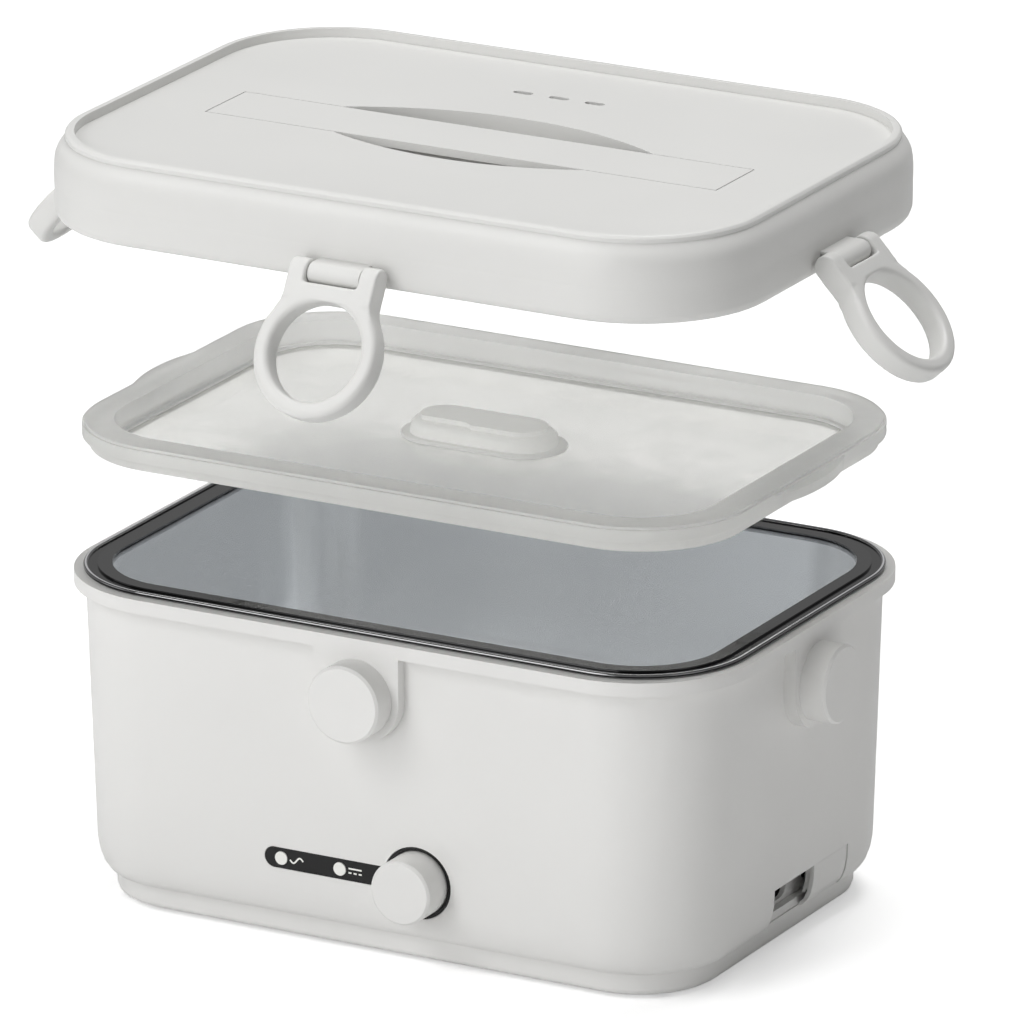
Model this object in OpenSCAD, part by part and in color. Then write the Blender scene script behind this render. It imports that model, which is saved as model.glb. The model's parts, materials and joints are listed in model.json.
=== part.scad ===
// Electric lunch box, shown opened out: housing with heater, food tub, sealed inner lid
// and an outer lid whose four ring latches hook over round posts on the housing.
// Origin: centre of the footprint, on the surface that the feet stand on. +Z is up, -Y is the front.

/* [Housing] */
// Length over the rim flange
flange_w = 240; // [228:1:260]
// Depth over the rim flange
flange_d = 168; // [156:1:190]
// Corner radius of the rim flange
corner_r = 40; // [32:1:46]
// Height of the rim flange above the ground
body_h = 109.6; // [104:0.2:122]
// Thickness of the rim flange
flange_h = 4.6; // [3.5:0.1:6]
// Distance from the flange edge in to the wall below it
flange_step = 3.8; // [2.8:0.1:4.6]
// Lean of the wall, from the flange down to the bottom bend
draft = 2.6; // [1:0.1:4]
// Height of the rounded bottom bend
bend_h = 13; // [10:0.5:15]
// Distance that the bottom bend turns in
bend_in = 5.6; // [4:0.1:7]
// Wall thickness of the housing
wall_t = 2.4; // [1.8:0.1:2.6]

/* [Base] */
// Gap between the ground and the base cover
foot_gap = 1.2; // [0.8:0.1:2.5]
// Height of the base cover
base_h = 7.6; // [6.5:0.1:9]
// Step from the housing's bottom edge in to the base cover
base_step = 0.6; // [0.4:0.1:1.5]
// Thickness of the base cover
base_t = 2; // [1.6:0.1:2.6]
// Radius of each rubber foot
foot_r = 7; // [5:0.5:8]
// Distance of the feet in from the ends of the flange
foot_in_x = 40; // [32:1:44]
// Distance of the feet in from the front and back of the flange
foot_in_y = 34; // [32:1:44]
// Distance of the base screws in from the flange edge
boss_in = 24; // [23:0.5:25]

/* [Posts and latches] */
// Radius of the round latch post
post_r = 12.8; // [11.5:0.1:13]
// Distance that a post's face stays behind the line of the hinge pins
post_back = 0.7; // [0:0.1:1.5]
// Rim of the U-shaped pad around each post
pad_rim = 2.4; // [1.5:0.1:4]
// Radius of the hole in a latch ring
ring_hole_r = 16; // [15:0.1:16.4]
// Width of a latch ring's band
ring_band = 5.2; // [4:0.1:6]
// Thickness of a latch
latch_t = 8.4; // [7:0.1:9]
// Rounding of a latch ring's edges
ring_round = 1.7; // [0.8:0.1:1.9]
// Distance from the hinge pin to the centre of the ring
latch_l = 25.2; // [25:0.1:26.2]
// Width of a latch across its two ears
ear_w = 31; // [27:0.5:33]
// Thickness of each ear
ear_t = 6; // [4:0.1:7]
// Radius of the hinge pin
pin_r = 1.25; // [1:0.05:1.5]
// Height of the hinge pin above the lid's lower edge
pin_up = 4; // [3.8:0.1:4.4]
// Angle at which the front and back latches hang
swing_front = 29; // [5:1:60]
// Angle at which the side latches hang
swing_side = 43; // [5:1:60]

/* [Tub] */
// Inset of the tub's rolled rim from the flange edge
rim_inset = 3; // [2.6:0.1:3.6]
// Inset of the tub's mouth from the flange edge
mouth_inset = 11.5; // [10.6:0.1:12.5]
// Depth of the tub
tub_depth = 61; // [50:1:61]
// Sheet thickness of the tub
tub_t = 0.8; // [0.6:0.1:1]
// Lean of the tub's wall
tub_draft = 3.6; // [2:0.1:5]
// Rounding where the tub's wall meets its bottom
tub_bend = 10; // [6:1:14]

/* [Inner lid] */
// Height that the inner lid is shown above its seat on the tub
inner_lift = 39.5; // [20:0.5:60]
// Inset of the seal's upper band from the flange edge
seal_inset = 3.2; // [3:0.1:3.6]
// Width of the seal's band
seal_w = 10.4; // [8:0.1:11]
// Height of the seal's upper band
seal_h = 5; // [3:0.1:6]
// Height of the seal's lower band
seal_low_h = 3.4; // [2:0.1:5]
// Depth of the tray inside the seal
tray_depth = 8; // [6:0.2:9]
// Thickness of the clear panel
panel_t = 1.6; // [1.2:0.1:2]
// Reach of the pull tabs beyond the seal
tab_reach = 4.4; // [3:0.1:4.6]
// Length of the vent plug's flange
plug_l = 57; // [46:1:64]
// Width of the vent plug's flange
plug_w = 27; // [22:1:32]
// Travel of the vent plug
plug_lift = 4; // [2:0.5:4]

/* [Outer lid] */
// Height that the outer lid is shown above the inner lid, from closed
outer_lift = 76.5; // [60:0.5:100]
// Overhang of the lid's skirt beyond the flange
lid_over = 4.5; // [4.2:0.1:5.5]
// Height of the outer lid
lid_h = 27.5; // [26:0.1:30]
// Wall thickness of the outer lid
lid_t = 2.5; // [2:0.1:2.6]
// Depth of the recess in the lid's top
top_recess = 3; // [2:0.1:3.4]
// Length of the lift-up handle strip
strap_l = 184; // [150:1:190]
// Width of the handle strip
strap_w = 26; // [20:1:30]
// Thickness of the handle strip
strap_t = 2.6; // [2:0.1:3.4]
// Place of the handle strip from the middle of the lid, towards the back
strap_y = -4; // [-8:1:4]
// Length of the finger hollow in front of the strip
hollow_front_l = 90; // [70:1:110]
// Reach of the finger hollow in front of the strip
hollow_front = 10; // [6:0.5:12]
// Length of the finger hollow behind the strip
hollow_back_l = 112; // [90:1:130]
// Reach of the finger hollow behind the strip
hollow_back = 15; // [10:0.5:17]
// Depth of the finger hollows
hollow_depth = 9; // [7:0.5:9]
// Travel of the handle strip
strap_lift = 8; // [5:0.5:8]

/* [Controls] */
// Radius of the power button
button_r = 10.6; // [9:0.1:11.4]
// Reach of the power button from the panel
button_out = 11.4; // [8:0.1:13]
// Travel of the power button
button_travel = 2.2; // [1.5:0.1:2.5]
// Place of the button along the front
button_x = 18.3; // [12:0.1:24]
// Height of the button and the lamps
control_z = 29.3; // [26:0.1:30]
// Height of the black lamp strip
strip_h = 6.8; // [5:0.1:8]
// Left end of the black lamp strip
strip_x = -37; // [-44:0.5:-34]
// Place of the first lamp
lamp_x = -31; // [-32:0.5:-28]
// Distance between the two lamps
lamp_gap = 21.3; // [16:0.1:22]
// Distance from the front wall back to the control board
board_gap = 13.2; // [12.6:0.1:15]
// Radius of a lamp lens
lamp_r = 2.2; // [1.6:0.1:2.4]

/* [Power inlet] */
// Front end of the inlet recess
inlet_y0 = -16.5; // [-22:0.5:-12]
// Back end of the inlet recess
inlet_y1 = 34.3; // [32:0.1:36]
// Top of the inlet recess above the ground
inlet_top = 23.6; // [22:0.1:24]
// Length of the sliding cover
cover_l = 22.6; // [20:0.1:24]
// Clearance around the sliding cover
cover_gap = 0.3; // [0.2:0.05:0.4]
// Place of the mains socket along the recess
socket_y = 1.5; // [0:0.1:3]
// Height of the sockets above the ground
socket_z = 16.8; // [16:0.1:17.5]

/* [Heater] */
// Length of the heating plate
plate_w = 150; // [130:1:160]
// Depth of the heating plate
plate_d = 92; // [80:1:100]
// Thickness of the heating plate
plate_t = 3; // [2:0.1:3]
// Length of each heater block
heater_l = 35; // [28:1:38]
// Depth of each heater block
heater_d = 24; // [18:1:28]

/* [Hidden] */

round_fn = 96;
loft_fn = 64;
eps = 0.02;
fit = 0.3;

white = [0.93, 0.93, 0.92];
clear_grey = [0.78, 0.78, 0.77, 0.9];
steel = [0.66, 0.68, 0.7];
dark = [0.06, 0.06, 0.06];

// Heights of the housing
flange_z = body_h - flange_h;
seam_z = foot_gap + base_h;
bend_z = seam_z + bend_h;
floor_top = foot_gap + base_t;

// Tub
rim_z = body_h + 0.1;
bead_r = 0.8;
seat_z = rim_z + 2 * bead_r + 0.1;
tub_floor_z = rim_z - tub_depth;

// Heater stack, built up under the tub
plate_top = tub_floor_z - fit;
plate_z = plate_top - plate_t;
plate_seal_t = 0.8;
liner_floor_top = plate_z - plate_seal_t;
liner_lip = 1.6;
liner_t = 1.7;
liner_in = wall_in(liner_floor_top - liner_t) + wall_t + fit;
opening_in = liner_in - fit;
mouth_in = max(mouth_inset, liner_in + liner_t + fit);
heater_h = 6;
clamp_t = 1.5;
heater_z = plate_z - heater_h;
heater_x = 30;
stud_x = 58;
screw_r = 1.5;

// Inner lid, at its shown height
inner_z = seat_z + inner_lift;
seal_top = inner_z + seal_low_h + seal_h;
seal_low_in = seal_inset + 2.4;
tray_in = seal_inset + seal_w;
panel_z = seal_top - tray_depth;
plug_in = mouth_in + tub_t + 0.5;
groove = 1;

// Outer lid, at its shown height
lid_closed_z = seat_z;
lid_z = lid_closed_z + inner_lift + outer_lift;
lid_top = lid_z + lid_h;
deck_top = lid_top - top_recess;
deck_t = 2.5;
deck_z = deck_top - deck_t;
neck_in = 5;
rim_lip = 3;
leg_r = 2.4;
leg_x = strap_l / 2 - 9;
well_floor = deck_top - hollow_depth - 2;
shoulder_z = lid_h - top_recess - deck_t - 1;
seal_contact = seal_top + outer_lift;
pin_out = latch_t / 2 + 1;
pin_z = lid_z + pin_up;
pin_x = flange_w / 2 + lid_over + pin_out;
pin_y = flange_d / 2 + lid_over + pin_out;
post_reach = lid_over + pin_out - post_back;
post_z = lid_closed_z + pin_up - latch_l;
ring_r = ring_hole_r + ring_band;

// Front controls
panel_proud = 0.065625;
panel_face = half_d(wall_in(control_z)) + panel_proud;
panel_t_front = 1.6;
panel_back = panel_face - panel_t_front;
wall_back = panel_face - wall_t - 0.9;
button_gap = 0.3;
button_flange_t = 1.2;
board_y = wall_back - board_gap;
board_t = 1.6;
board_top = liner_floor_top - liner_t - 1.9;
board_low = floor_top + 10.8;
board_edge = 5;
switch_front = board_y + board_t + 5.5;
button_back = wall_back - 0.5 - button_flange_t;
board_posts = [strip_x, button_x + button_r + 5.1];
board_screw_z = board_top - 4.5;

// Inlet
cover_deep = 0.3;
cover_t = 1.6;
guide_deep = wall_t + 0.3;
guide_t = 1.2;
track_h = 1.2;
pocket_t = 1.5;
base_edge = 12.6;
socket_x = flange_w / 2 - base_edge - 3.2;
plate_skin = 1.6;
jack_y = inlet_y1 - 11;
pocket_top = inlet_top + track_h + 0.2 + pocket_t;

// Sizes of the outline at a distance in from the flange edge
function half_w(i) = flange_w / 2 - i;
function half_d(i) = flange_d / 2 - i;
function corner(i) = max(corner_r - i, 4);

// Distance in from the flange edge to the housing's outer wall, at height z
function lean(z) = draft * (flange_z - max(z, bend_z)) / (flange_z - bend_z);
function bend(z) = bend_in * (1 - sqrt(1 - pow(min(max((bend_z - z) / bend_h, 0), 1), 2)));
function wall_in(z) = flange_step + lean(z) + bend(z);

// Distance in from the flange edge to the tub's outer wall, at height z
function tub_lean(z) = tub_draft * (rim_z - z) / tub_depth;
function tub_bend_in(z) =
    tub_bend * (1 - sqrt(max(1 - pow(min(max((tub_floor_z + tub_bend - z) / tub_bend, 0), 1), 2), 0)));
function tub_in(z) = mouth_in + tub_lean(z) + tub_bend_in(z);

// Distance in from the flange edge to the lid's skirt, at height h above its lower edge
function skirt_low(h) = (h < 3 ? 1.5 * pow(1 - h / 3, 2) : 0) + 0.002 * pow(8 - h, 2);
function skirt_high(h) = neck_in * (1 - sqrt(max(1 - pow(min(max((h - 13) / (shoulder_z - 13), 0), 1), 2), 0)));
function skirt_in(h) = -lid_over + skirt_low(h) + skirt_high(h);

// Rounded rectangle from exact arcs
module rounded(w, d, r, fn = round_fn) {
    square([2 * (w - r), 2 * d], center = true);
    square([2 * w, 2 * (d - r)], center = true);
    for (sx = [-1, 1], sy = [-1, 1]) {
        translate([sx * (w - r), sy * (d - r)]) circle(r, $fn = fn);
    }
}

// The common outline, a distance in from the flange edge
module outline(i) {
    rounded(half_w(i), half_d(i), corner(i));
}

// One thin layer of a lofted body
module layer(i, z) {
    translate([0, 0, z]) linear_extrude(eps) rounded(half_w(i), half_d(i), corner(i), loft_fn);
}

module ring_slab(i_out, i_in, z, h) {
    translate([0, 0, z]) linear_extrude(h) {
        difference() {
            outline(i_out);
            outline(i_in);
        }
    }
}

// Upright cylinder turned to point along -Y, starting at depth y0 and ending at y1
module front_rod(r, x, z, y0, y1) {
    translate([x, -y0, z]) rotate([90, 0, 0]) cylinder(r = r, h = y1 - y0, $fn = round_fn);
}

// Places its children at the middle of each side, facing outwards along -Y
module on_sides() {
    for (s = [0, 1]) {
        rotate([0, 0, 180 * s]) children(0);
    }
    for (s = [0, 1]) {
        rotate([0, 0, 90 + 180 * s]) children(1);
    }
}

// Latch post with its pad, standing out along -Y from a wall whose flange edge is at reach
module latch_post(reach) {
    pad_w = post_r + pad_rim;
    pad_y = reach - flange_step - 2.2;
    translate([0, -pad_y, post_z]) rotate([90, 0, 0]) {
        cylinder(r = pad_w, h = reach - pad_y, $fn = round_fn);
        translate([-pad_w, 0, 0]) cube([2 * pad_w, flange_z + 1 - post_z, reach - pad_y]);
        cylinder(r = post_r, h = reach + post_reach - pad_y - 0.8, $fn = round_fn);
        translate([0, 0, reach + post_reach - pad_y - 0.8]) {
            cylinder(r1 = post_r, r2 = post_r - 0.8, h = 0.8, $fn = round_fn);
        }
    }
}

// Outline of the black front panel: a disc round the button and a strip with a round end
module panel_outline(grow) {
    circle(button_r + 1.4 + grow, $fn = round_fn);
    translate([strip_x - button_x + strip_h / 2, 0]) circle(strip_h / 2 + grow, $fn = round_fn);
    translate([strip_x - button_x + strip_h / 2, -strip_h / 2 - grow]) {
        square([button_x - strip_x - strip_h / 2, strip_h + 2 * grow]);
    }
}

module housing_shell() {
    difference() {
        hull() {
            for (z = [seam_z, seam_z + 1, seam_z + 3, seam_z + 6, bend_z - 3, bend_z, flange_z]) {
                layer(wall_in(z), z);
            }
        }
        hull() {
            for (z = [seam_z, seam_z + 1, seam_z + 3, seam_z + 6, bend_z - 3, bend_z, flange_z]) {
                layer(wall_in(z) + wall_t, z == seam_z ? z - 1 : z + (z == flange_z ? 1 : 0));
            }
        }
    }
}

module outer_housing() {
    color(white) difference() {
        union() {
            housing_shell();
            ring_slab(0, opening_in, flange_z, flange_h);
            on_sides() {
                latch_post(half_d(0));
                latch_post(half_w(0));
            }
            // bosses that carry the control board
            for (x = board_posts) {
                front_rod(3.2, x, board_screw_z, board_y + board_t, half_d(wall_in(board_screw_z)) - 1);
            }
            // walls of the pocket behind the inlet
            translate([socket_x - plate_skin, inlet_y0 - pocket_t, seam_z]) {
                cube([half_w(wall_in(seam_z) + wall_t / 2) - socket_x + plate_skin, pocket_t, pocket_top - seam_z]);
            }
            translate([socket_x - plate_skin, inlet_y1, seam_z]) {
                cube([half_w(wall_in(seam_z) + wall_t / 2) - socket_x + plate_skin, pocket_t, pocket_top - seam_z]);
            }
            translate([socket_x - plate_skin, inlet_y0 - pocket_t, pocket_top - pocket_t]) {
                cube([
                    half_w(wall_in(inlet_top) + wall_t / 2) - socket_x + plate_skin,
                    inlet_y1 - inlet_y0 + 2 * pocket_t, pocket_t
                ]);
            }
            // bosses for the base screws
            for (sx = [-1, 1], sy = [-1, 1]) {
                translate([sx * half_w(boss_in), sy * half_d(boss_in), seam_z]) cylinder(r = 4, h = 16, $fn = round_fn);
            }
            // webs from the bosses to the wall
            for (sx = [-1, 1], sy = [-1, 1]) {
                translate([sx * half_w(boss_in), sy * half_d(boss_in), seam_z]) rotate([0, 0, atan2(sy, sx)]) {
                    translate([2, -1, 2]) cube([5, 2, 9]);
                }
            }
        }
        // the tub and liner pass through the flange, with a rebate for the liner's lip
        translate([0, 0, flange_z - 1]) linear_extrude(flange_h + 2) outline(opening_in);
        translate([0, 0, body_h - liner_lip]) linear_extrude(liner_lip + 1) outline(rim_inset + 1.6);
        // recess for the black panel, with its button and lamp holes
        translate([button_x, -panel_back, control_z]) rotate([90, 0, 0]) {
            linear_extrude(10) panel_outline(0.15);
        }
        front_rod(button_r + button_gap, button_x, control_z, wall_back - 6, panel_face + 5);
        for (k = [0, 1]) {
            front_rod(lamp_r + 0.1, lamp_x + k * lamp_gap, control_z, wall_back - 6, panel_face + 5);
        }
        // screw holes in the board bosses and the base bosses
        for (x = board_posts) {
            front_rod(screw_r, x, board_screw_z, board_y + board_t - 1, board_y + board_t + 7);
        }
        for (sx = [-1, 1], sy = [-1, 1]) {
            translate([sx * half_w(boss_in), sy * half_d(boss_in), seam_z - 1]) cylinder(r = screw_r, h = 12, $fn = 32);
        }
        // inlet opening, open at the bottom edge
        translate([socket_x - 3, inlet_y0, seam_z - 1]) cube([30, inlet_y1 - inlet_y0, inlet_top - seam_z + 1]);
    }
}

module base_cover() {
    edge = wall_in(seam_z) + base_step;
    lip_in = wall_in(seam_z) + wall_t + fit;
    color(white) difference() {
        union() {
            difference() {
                union() {
                    hull() {
                        layer(edge + 2, foot_gap);
                        layer(edge + 0.7, foot_gap + 0.8);
                        layer(edge + 0.1, foot_gap + 2.4);
                        layer(edge, seam_z - eps);
                    }
                    // inner lip that locates in the housing
                    ring_slab(lip_in, lip_in + 1.8, seam_z - 0.5, 2.5);
                }
                translate([0, 0, floor_top]) linear_extrude(base_h + 3) outline(lip_in + 1.8);
                // the lip stays clear of the housing's bosses
                for (sx = [-1, 1], sy = [-1, 1]) {
                    translate([sx * half_w(boss_in), sy * half_d(boss_in), seam_z - eps]) {
                        cylinder(r = 4 + fit, h = 5, $fn = round_fn);
                    }
                }
                // it stops at the inlet pocket, and the sockets' plate stands on the floor
                translate([half_w(boss_in + 6), inlet_y0 - 2, seam_z - eps]) cube([40, inlet_y1 - inlet_y0 + 4, 10]);
                translate([half_w(boss_in + 6), inlet_y0 - 2, floor_top]) {
                    cube([socket_x + 0.2 - half_w(boss_in + 6), inlet_y1 - inlet_y0 + 4, base_h]);
                }
            }
            // tongue that closes the bottom of the inlet opening
            translate([socket_x + 0.2, inlet_y0 + fit, floor_top - 0.5]) {
                cube([2.5, 36, seam_z - floor_top + 3.2]);
            }
        }
        for (sx = [-1, 1], sy = [-1, 1]) {
            translate([sx * half_w(boss_in), sy * half_d(boss_in), 0]) {
                cylinder(r = screw_r + 0.2, h = 30, $fn = 32);
                cylinder(r = 3.2, h = foot_gap + 1, $fn = 32);
            }
        }
        // vent slots
        for (k = [-3:3]) {
            translate([k * 9 - 1.5, -22, 0]) cube([3, 44, 8]);
        }
    }
    // pillars that meet the housing's bosses
    color(white) for (sx = [-1, 1], sy = [-1, 1]) {
        translate([sx * half_w(boss_in), sy * half_d(boss_in), foot_gap + base_t]) {
            difference() {
                cylinder(r = 4, h = base_h - base_t, $fn = round_fn);
                translate([0, 0, -1]) cylinder(r = screw_r + 0.2, h = 30, $fn = 32);
            }
        }
    }
}

module rubber_feet() {
    color([0.2, 0.2, 0.2]) for (sx = [-1, 1], sy = [-1, 1]) {
        translate([sx * half_w(foot_in_x), sy * half_d(foot_in_y), 0]) {
            cylinder(r1 = foot_r - 0.5, r2 = foot_r, h = 0.5, $fn = round_fn);
            translate([0, 0, 0.5]) cylinder(r = foot_r, h = foot_gap - 0.5, $fn = round_fn);
        }
    }
}

module base_screws() {
    color(steel) for (sx = [-1, 1], sy = [-1, 1]) {
        translate([sx * half_w(boss_in), sy * half_d(boss_in), foot_gap + 1]) {
            translate([0, 0, -0.9]) cylinder(r = 2.8, h = 0.9, $fn = 32);
            cylinder(r = screw_r, h = base_h + 7, $fn = 32);
        }
    }
}

module inner_liner() {
    lip_z = body_h - liner_lip;
    color(white) difference() {
        union() {
            translate([0, 0, lip_z]) linear_extrude(liner_lip) outline(rim_inset + 1.8);
            translate([0, 0, liner_floor_top - liner_t]) {
                linear_extrude(lip_z - liner_floor_top + liner_t + 0.5) outline(liner_in);
            }
        }
        translate([0, 0, liner_floor_top]) linear_extrude(body_h) outline(liner_in + liner_t);
        translate([0, 0, liner_floor_top - 10]) linear_extrude(20) {
            rounded(plate_w / 2 - 6, plate_d / 2 - 6, 12);
        }
    }
}

module plate_seal() {
    color([0.75, 0.3, 0.2]) translate([0, 0, liner_floor_top]) linear_extrude(plate_seal_t) {
        difference() {
            rounded(plate_w / 2, plate_d / 2, 16);
            rounded(plate_w / 2 - 6, plate_d / 2 - 6, 12);
        }
    }
}

module heating_plate() {
    color([0.75, 0.76, 0.78]) {
        translate([0, 0, plate_z]) linear_extrude(plate_t) rounded(plate_w / 2, plate_d / 2, 16);
        for (sx = [-1, 1]) {
            translate([sx * stud_x, 0, heater_z]) difference() {
                cylinder(r = 3.5, h = heater_h + 0.5, $fn = round_fn);
                translate([0, 0, -1]) cylinder(r = screw_r, h = 6, $fn = 32);
            }
        }
    }
}

module ptc_heaters() {
    color([0.85, 0.8, 0.7]) for (sx = [-1, 1]) {
        translate([sx * heater_x - heater_l / 2, -heater_d / 2, heater_z]) cube([heater_l, heater_d, heater_h]);
    }
}

module heater_clamp() {
    color(steel) difference() {
        translate([-stud_x - 6, -7, heater_z - clamp_t]) cube([2 * stud_x + 12, 14, clamp_t]);
        for (sx = [-1, 1]) {
            translate([sx * stud_x, 0, heater_z - 5]) cylinder(r = screw_r + 0.2, h = 10, $fn = 32);
        }
    }
}

module clamp_screws() {
    color([0.5, 0.5, 0.52]) for (sx = [-1, 1]) {
        translate([sx * stud_x, 0, heater_z - clamp_t]) {
            translate([0, 0, -1.6]) cylinder(r = 2.8, h = 1.6, $fn = 32);
            cylinder(r = screw_r, h = 5, $fn = 32);
        }
    }
}

module thermostat() {
    color([0.15, 0.15, 0.15]) translate([0, plate_d / 2 - 18, plate_z]) {
        translate([0, 0, -4]) cylinder(r = 8, h = 4, $fn = round_fn);
        translate([0, 0, -11]) cylinder(r = 6.5, h = 7, $fn = round_fn);
        for (sx = [-1, 1]) {
            translate([sx * 4 - 3, -0.4, -17]) cube([2.5, 0.8, 6.5]);
        }
    }
}

module thermal_fuse() {
    color([0.8, 0.75, 0.6]) translate([-22, 19 - plate_d / 2, plate_z]) {
        translate([0, 0, -3.5]) rotate([0, 90, 0]) cylinder(r = 2, h = 12, $fn = round_fn);
        // strap that holds it to the plate
        translate([4, -5, -1]) cube([4, 10, 1]);
        translate([4, -3, -3.5]) cube([4, 1.2, 3]);
        translate([4, 1.8, -3.5]) cube([4, 1.2, 3]);
    }
}

module control_board() {
    color([0.1, 0.35, 0.18]) difference() {
        translate([board_posts[0] - board_edge, -board_y - board_t, board_low]) {
            cube([board_posts[1] - board_posts[0] + 2 * board_edge, board_t, board_top - board_low]);
        }
        for (x = board_posts) {
            front_rod(screw_r + 0.2, x, board_screw_z, board_y - 1, board_y + board_t + 1);
        }
    }
}

module board_screws() {
    color(steel) for (x = board_posts) {
        front_rod(2.6, x, board_screw_z, board_y - 1.4, board_y);
        front_rod(screw_r, x, board_screw_z, board_y - 0.1, board_y + board_t + 5);
    }
}

module indicator_leds() {
    color([0.95, 0.95, 0.9]) for (k = [0, 1]) {
        x = lamp_x + k * lamp_gap;
        front_rod(1.5, x, control_z, board_y + board_t + 1, wall_back - 2);
        front_rod(1.9, x, control_z, board_y + board_t + 1, board_y + board_t + 2);
        for (s = [-1, 1]) {
            front_rod(0.35, x + s * 0.9, control_z, board_y + board_t, board_y + board_t + 1.2);
        }
    }
}

module switch_body() {
    color([0.2, 0.2, 0.22]) difference() {
        translate([button_x - 5, -switch_front, control_z - 5]) cube([10, switch_front - board_y - board_t, 10]);
        front_rod(1.6, button_x, control_z, switch_front - 5.2, switch_front + 1);
    }
}

module indicator_panel() {
    color(dark) difference() {
        translate([button_x, -panel_back, control_z]) rotate([90, 0, 0]) {
            linear_extrude(panel_t_front) panel_outline(0);
        }
        front_rod(button_r + button_gap, button_x, control_z, panel_back - 1, panel_face + 1);
        for (k = [0, 1]) {
            front_rod(lamp_r + 0.1, lamp_x + k * lamp_gap, control_z, panel_back - 1, panel_face + 1);
        }
    }
}

module lamp_lenses() {
    color([0.9, 0.9, 0.88]) for (k = [0, 1]) {
        x = lamp_x + k * lamp_gap;
        front_rod(lamp_r, x, control_z, wall_back - 0.5, panel_face + 0.2);
        front_rod(lamp_r + 0.9, x, control_z, wall_back - 1.4, wall_back - 0.1);
    }
}

// Two round lobes and the web between them, as a hole along +X
module socket_hole(depth) {
    for (s = [-1, 1]) {
        translate([0, s * 3.6, 0]) rotate([0, 90, 0]) cylinder(r = 4.1, h = depth, $fn = round_fn);
    }
    translate([0, -3.6, -4.1]) cube([depth, 7.2, 8.2]);
}

module inlet_plate() {
    y0 = inlet_y0 + 0.2;
    color(white) difference() {
        translate([socket_x - plate_skin, y0, floor_top + 0.1]) {
            cube([plate_skin, inlet_y1 - 0.2 - y0, inlet_top + track_h - floor_top - 0.2]);
        }
        translate([socket_x - 5, socket_y, socket_z]) socket_hole(10);
        translate([socket_x - 5, jack_y, socket_z]) rotate([0, 90, 0]) cylinder(r = 3.6, h = 10, $fn = round_fn);
    }
}

module ac_socket() {
    x1 = socket_x - plate_skin - 0.1;
    color([0.12, 0.12, 0.12]) difference() {
        translate([x1 - 15, socket_y - 10, floor_top + 0.1]) cube([15, 20, socket_z + 6 - floor_top]);
        translate([x1 - 12, socket_y, socket_z]) socket_hole(20);
        for (s = [-1, 1]) {
            translate([x1 - 16, socket_y + s * 3.6, socket_z]) rotate([0, 90, 0]) {
                cylinder(r = 1.25, h = 5, $fn = round_fn);
            }
        }
    }
}

module socket_pins() {
    x1 = socket_x - plate_skin - 0.1;
    color(steel) for (s = [-1, 1]) {
        translate([x1 - 19, socket_y + s * 3.6, socket_z]) rotate([0, 90, 0]) {
            cylinder(r = 1.2, h = 15.5, $fn = round_fn);
        }
    }
}

module dc_jack() {
    x1 = socket_x - plate_skin - 0.1;
    color([0.12, 0.12, 0.12]) {
        difference() {
            translate([x1 - 13, jack_y - 6, floor_top + 0.1]) cube([13, 12, socket_z + 6 - floor_top]);
            translate([x1 - 10, jack_y, socket_z]) rotate([0, 90, 0]) cylinder(r = 3.2, h = 20, $fn = round_fn);
        }
        translate([x1 - 11, jack_y, socket_z]) rotate([0, 90, 0]) cylinder(r = 1, h = 8, $fn = 32);
    }
}

module power_button() {
    face = panel_face + button_out;
    color(white) {
        front_rod(button_r, button_x, control_z, button_back, face - 0.8);
        translate([button_x, -face + 0.8, control_z]) rotate([90, 0, 0]) {
            cylinder(r1 = button_r, r2 = button_r - 0.8, h = 0.8, $fn = round_fn);
        }
        front_rod(button_r + 1.6, button_x, control_z, button_back, button_back + button_flange_t);
    }
}

module switch_plunger() {
    color([0.85, 0.85, 0.8]) {
        front_rod(1.5, button_x, control_z, switch_front - 2, button_back);
        front_rod(3, button_x, control_z, button_back - 0.8, button_back);
    }
}

// Section of the side wall, from a distance in to another, between two heights
module wall_section(in_a, in_b, z0, z1) {
    steps = 6;
    heights = [for (k = [0:steps]) z0 + (z1 - z0) * k / steps];
    polygon(concat(
        [for (z = heights) [half_w(wall_in(z) + in_a), z]],
        [for (k = [steps:-1:0]) [half_w(wall_in(heights[k]) + in_b), heights[k]]]
    ));
}

module inlet_cover() {
    z0 = seam_z + cover_gap;
    z1 = inlet_top - cover_gap;
    y1 = inlet_y1 - cover_gap;
    color(white) {
        translate([0, y1, 0]) rotate([90, 0, 0]) linear_extrude(cover_l) {
            wall_section(cover_deep, cover_deep + cover_t, z0, z1);
        }
        // neck and guide that run behind the wall
        translate([0, y1 - 1, 0]) rotate([90, 0, 0]) linear_extrude(cover_l - 2) {
            wall_section(cover_deep + 1, guide_deep + 0.5, z0 + 5, z1 - 1);
            wall_section(guide_deep, guide_deep + guide_t, z0 + 4, inlet_top + track_h);
        }
    }
}

module food_tub() {
    heights = [0, 0.6, 2, 4.5, tub_bend];
    color(steel) {
        difference() {
            union() {
                hull() {
                    for (h = heights) {
                        layer(tub_in(tub_floor_z + h), tub_floor_z + h);
                    }
                    layer(tub_in(rim_z), rim_z);
                }
                // rolled rim with a low step inside it
                ring_slab(rim_inset + bead_r, mouth_in + 1, rim_z, tub_t);
                ring_slab(rim_inset + 4.6, mouth_in + 1, rim_z, tub_t + 0.7);
                rim_bead(rim_inset + bead_r, rim_z + bead_r);
            }
            hull() {
                for (h = heights) {
                    layer(tub_in(tub_floor_z + h) + tub_t, tub_floor_z + h + tub_t);
                }
                layer(mouth_in + tub_t, rim_z + 2);
            }
        }
    }
}

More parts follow.
